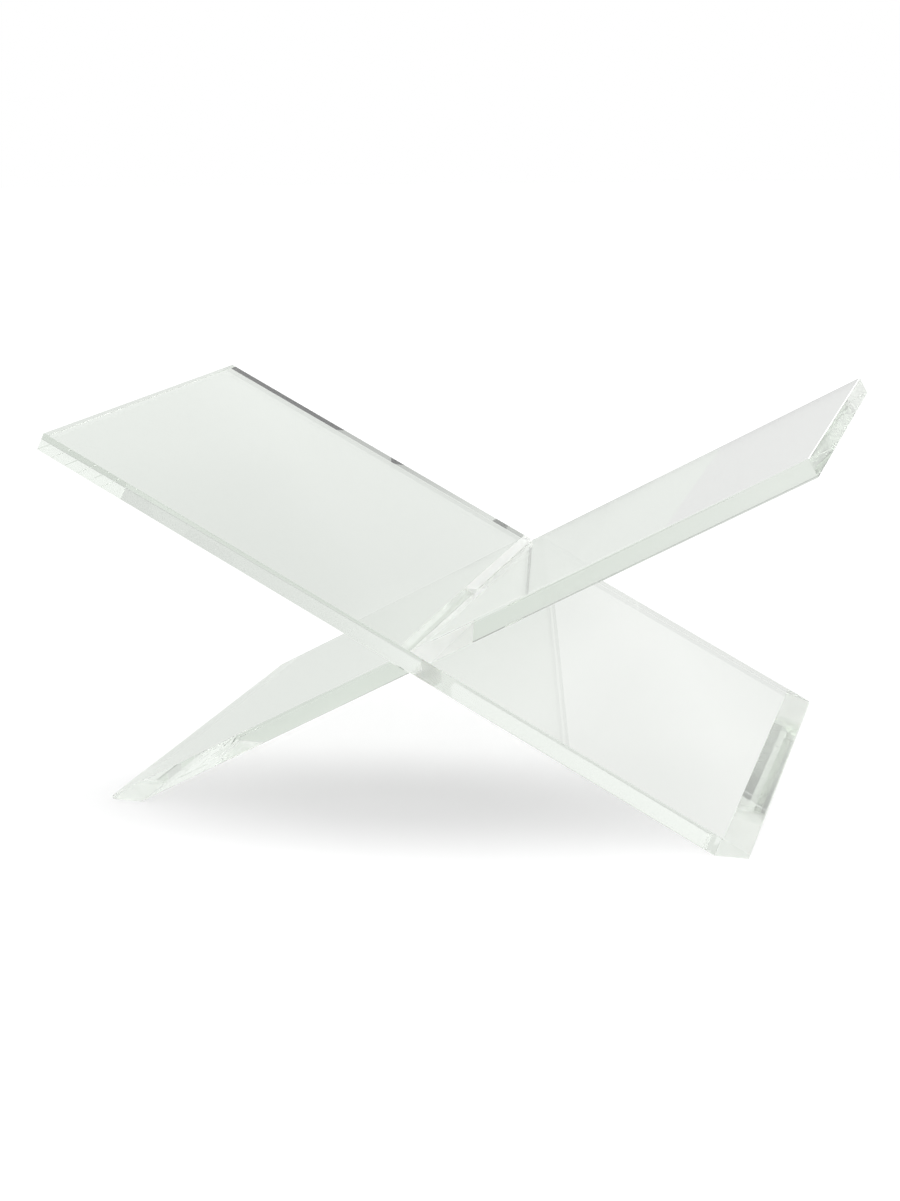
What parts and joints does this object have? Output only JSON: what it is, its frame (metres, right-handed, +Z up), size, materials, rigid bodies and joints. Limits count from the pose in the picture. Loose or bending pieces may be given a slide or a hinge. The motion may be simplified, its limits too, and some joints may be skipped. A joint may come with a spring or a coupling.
{
  "type": "acrylic book stand",
  "caption": "Clear acrylic tabletop book stand: slotted plates cross in an X and cradle an open book in the V above.",
  "frame": {"origin": "on the tabletop, straight below the crossing, at the middle of the depth", "axes": "+X across the open V towards the right plate's upper end, +Y from the front edge to the back edge, +Z up"},
  "size_m": [0.481, 0.293, 0.2396],
  "materials": {
    "clear_acrylic": "polished"
  },
  "bodies": {
    "left_plate": {"left_plate": "clear_acrylic"},
    "right_plate": {"right_plate": "clear_acrylic"}
  },
  "joints": [
    {"name": "right_plate_slide", "type": "slide", "parent": "left_plate", "child": "right_plate", "axis": [0, 1, 0], "range_m": [0, 0.3]}
  ]
}
